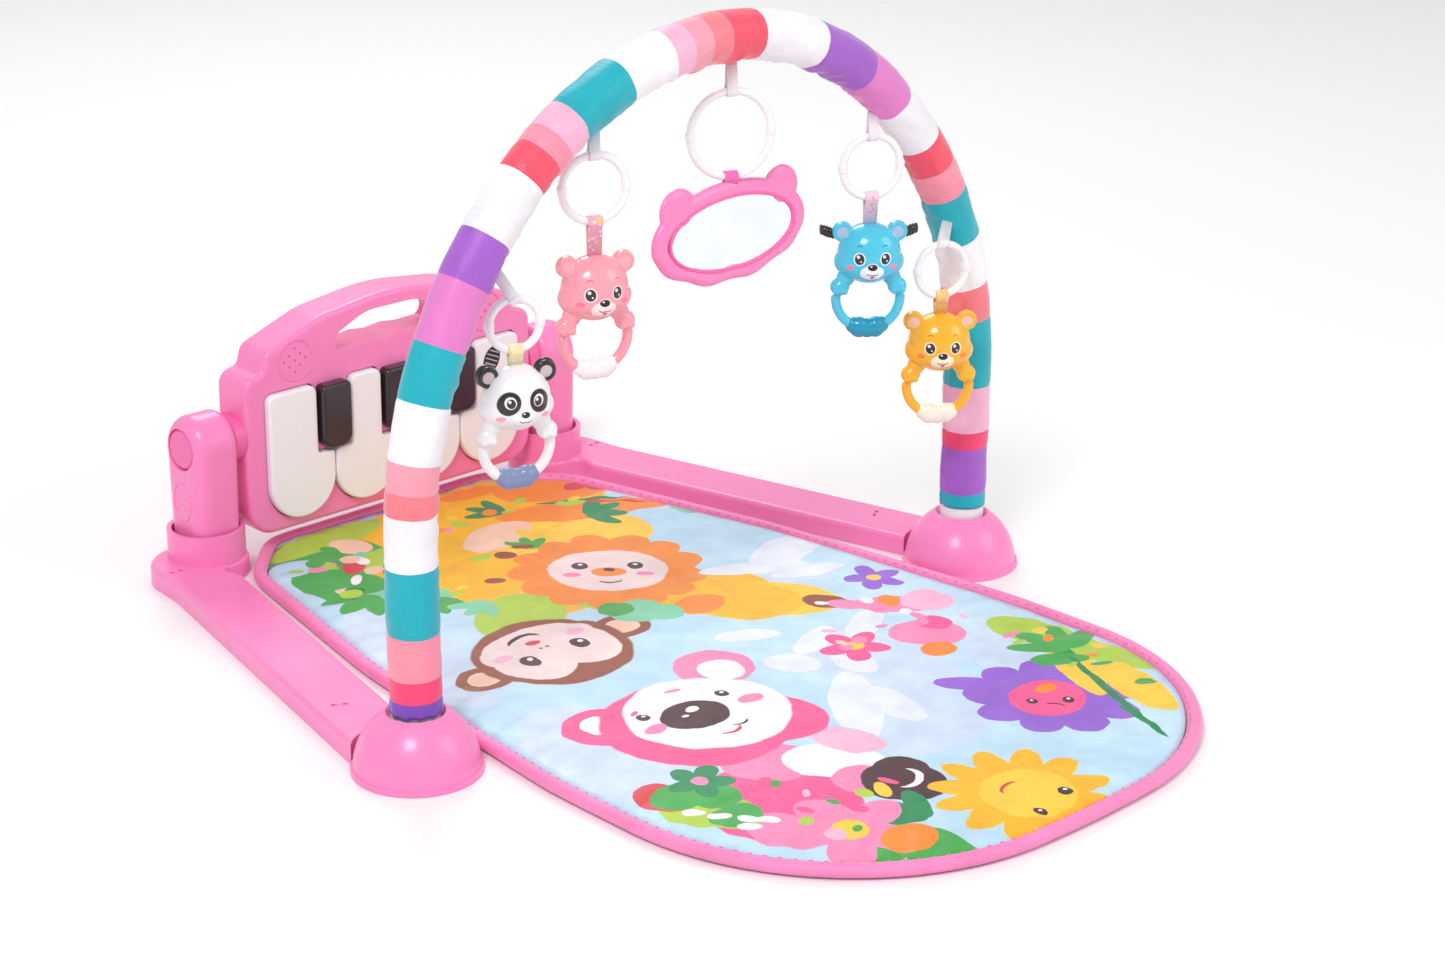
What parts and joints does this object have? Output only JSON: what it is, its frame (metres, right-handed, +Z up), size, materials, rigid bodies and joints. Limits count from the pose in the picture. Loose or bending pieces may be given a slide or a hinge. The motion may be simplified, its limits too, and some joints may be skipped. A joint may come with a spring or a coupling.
{
  "type": "activity play gym",
  "caption": "Baby play gym: quilted floor mat, fabric-covered arch on two dome feet with hanging rattles and a mirror, and a tilting musical key board between two posts.",
  "frame": {"origin": "on the floor at the middle of the whole gym's bounding box", "axes": "+Z up, +Y from the mat's round front towards the key board, +X to the right seen from the mat's front"},
  "size_m": [0.559, 0.6844, 0.4176],
  "materials": {
    "pink_plastic": "satin moulded",
    "pink_plastic_dark": "satin moulded",
    "key_white": "satin moulded",
    "key_black": "glossy",
    "tube_white": "glossy",
    "link_white": "glossy",
    "panda_white": "glossy",
    "bear_pink": "glossy",
    "bear_blue": "glossy",
    "bear_yellow": "glossy",
    "grip_slate": "satin",
    "grip_white": "satin",
    "grip_teal": "satin",
    "mirror_plate": "polished",
    "sleeve_fabric": "satin weave in coloured bands",
    "mat_fabric": "printed quilted polyester",
    "binding_fabric": "folded polyester tape",
    "ribbon": "satin ribbon",
    "ribbon_pink": "satin ribbon",
    "steel": "zinc plated",
    "board_green": "solder mask",
    "rubber_grey": "matt",
    "battery_case": "printed can",
    "speaker_black": "matt"
  },
  "bodies": {
    "base": {"base_arm_left": "pink_plastic", "base_arm_right": "pink_plastic", "dome_foot_left": "pink_plastic", "dome_foot_right": "pink_plastic", "post_left": "pink_plastic", "post_right": "pink_plastic", "lock_springs": "steel", "post_screws": "steel", "arch_tube_left": "tube_white", "arch_tube_top": "tube_white", "arch_tube_right": "tube_white", "tube_cuffs": "tube_white", "arch_sleeve": "sleeve_fabric", "hanging_loops": "ribbon", "mat_pad": "mat_fabric", "mat_binding": "binding_fabric"},
    "piano": {"piano_front_shell": "pink_plastic", "piano_back_shell": "pink_plastic", "battery_cover": "pink_plastic", "black_keys": "key_black", "circuit_board": "board_green", "contact_strip": "rubber_grey", "speaker_driver": "speaker_black", "batteries": "battery_case", "shell_screws": "steel", "tilt_trunnions": "pink_plastic_dark"},
    "power_slider": {"power_switch": "key_black"},
    "lock_left": {"lock_button_left": "pink_plastic_dark"},
    "lock_right": {"lock_button_right": "pink_plastic_dark"},
    "key_1": {"white_key_1": "key_white"},
    "key_2": {"white_key_2": "key_white"},
    "key_3": {"white_key_3": "key_white"},
    "key_4": {"white_key_4": "key_white"},
    "panda_link": {"panda_ring": "link_white"},
    "panda_toy": {"panda_strap": "ribbon", "panda_rattle": "panda_white", "panda_grip": "grip_slate"},
    "pink_bear_link": {"pink_bear_ring": "link_white"},
    "pink_bear_toy": {"pink_bear_strap": "ribbon_pink", "pink_bear_rattle": "bear_pink", "pink_bear_grip": "grip_white"},
    "mirror_link": {"mirror_ring": "link_white"},
    "mirror_toy": {"mirror_strap": "ribbon_pink", "mirror_frame": "pink_plastic", "mirror_plate": "mirror_plate"},
    "blue_bear_link": {"blue_bear_ring": "link_white"},
    "blue_bear_toy": {"blue_bear_strap": "ribbon_pink", "blue_bear_rattle": "bear_blue", "blue_bear_grip": "grip_teal"},
    "yellow_bear_link": {"yellow_bear_ring": "link_white"},
    "yellow_bear_toy": {"yellow_bear_strap": "ribbon_pink", "yellow_bear_rattle": "bear_yellow", "yellow_bear_grip": "grip_white"}
  },
  "joints": [
    {"name": "piano_tilt", "type": "hinge", "parent": "base", "child": "piano", "pos_m": [0, 0.316, 0.092], "axis": [-1, 0, 0], "range_deg": [0, 75]},
    {"name": "key_1_press", "type": "slide", "parent": "piano", "child": "key_1", "axis": [0, 1, 0], "range_m": [0, 0.0035], "stiffness_N_per_m": 400},
    {"name": "key_2_press", "type": "slide", "parent": "piano", "child": "key_2", "axis": [0, 1, 0], "range_m": [0, 0.0035], "stiffness_N_per_m": 400},
    {"name": "key_3_press", "type": "slide", "parent": "piano", "child": "key_3", "axis": [0, 1, 0], "range_m": [0, 0.0035], "stiffness_N_per_m": 400},
    {"name": "key_4_press", "type": "slide", "parent": "piano", "child": "key_4", "axis": [0, 1, 0], "range_m": [0, 0.0035], "stiffness_N_per_m": 400},
    {"name": "power_slide", "type": "slide", "parent": "piano", "child": "power_slider", "axis": [1, 0, 0], "range_m": [0, 0.007]},
    {"name": "lock_left_press", "type": "slide", "parent": "base", "child": "lock_left", "axis": [1, 0, 0], "range_m": [0, 0.0025], "stiffness_N_per_m": 500},
    {"name": "lock_right_press", "type": "slide", "parent": "base", "child": "lock_right", "axis": [-1, 0, 0], "range_m": [0, 0.0025], "stiffness_N_per_m": 500},
    {"name": "panda_ring_swing", "type": "hinge", "parent": "base", "child": "panda_link", "pos_m": [-0.16, -0.022, 0.2725], "axis": [0.9272, -0.3746, 0], "range_deg": [-35, 30]},
    {"name": "panda_toy_swing", "type": "hinge", "parent": "panda_link", "child": "panda_toy", "pos_m": [-0.16, -0.022, 0.2415], "axis": [0.9272, -0.3746, 0], "range_deg": [-30, 30]},
    {"name": "pink_bear_ring_swing", "type": "hinge", "parent": "base", "child": "pink_bear_link", "pos_m": [-0.098, -0.022, 0.347], "axis": [0.9272, -0.3746, 0], "range_deg": [-40, 40]},
    {"name": "pink_bear_toy_swing", "type": "hinge", "parent": "pink_bear_link", "child": "pink_bear_toy", "pos_m": [-0.098, -0.022, 0.307], "axis": [0.9272, -0.3746, 0], "range_deg": [-30, 30]},
    {"name": "mirror_ring_swing", "type": "hinge", "parent": "base", "child": "mirror_link", "pos_m": [0.013, -0.022, 0.3675], "axis": [0.9272, -0.3746, 0], "range_deg": [-40, 40]},
    {"name": "mirror_toy_swing", "type": "hinge", "parent": "mirror_link", "child": "mirror_toy", "pos_m": [0.013, -0.022, 0.3145], "axis": [0.9272, -0.3746, 0], "range_deg": [-30, 30]},
    {"name": "blue_bear_ring_swing", "type": "hinge", "parent": "base", "child": "blue_bear_link", "pos_m": [0.139, -0.022, 0.319], "axis": [0.9272, -0.3746, 0], "range_deg": [-40, 40]},
    {"name": "blue_bear_toy_swing", "type": "hinge", "parent": "blue_bear_link", "child": "blue_bear_toy", "pos_m": [0.139, -0.022, 0.279], "axis": [0.9272, -0.3746, 0], "range_deg": [-30, 30]},
    {"name": "yellow_bear_ring_swing", "type": "hinge", "parent": "base", "child": "yellow_bear_link", "pos_m": [0.192, -0.038, 0.2409], "axis": [0.9272, -0.3746, 0], "range_deg": [-40, 5]},
    {"name": "yellow_bear_toy_swing", "type": "hinge", "parent": "yellow_bear_link", "child": "yellow_bear_toy", "pos_m": [0.192, -0.038, 0.2059], "axis": [0.9272, -0.3746, 0], "range_deg": [-30, 4]}
  ]
}
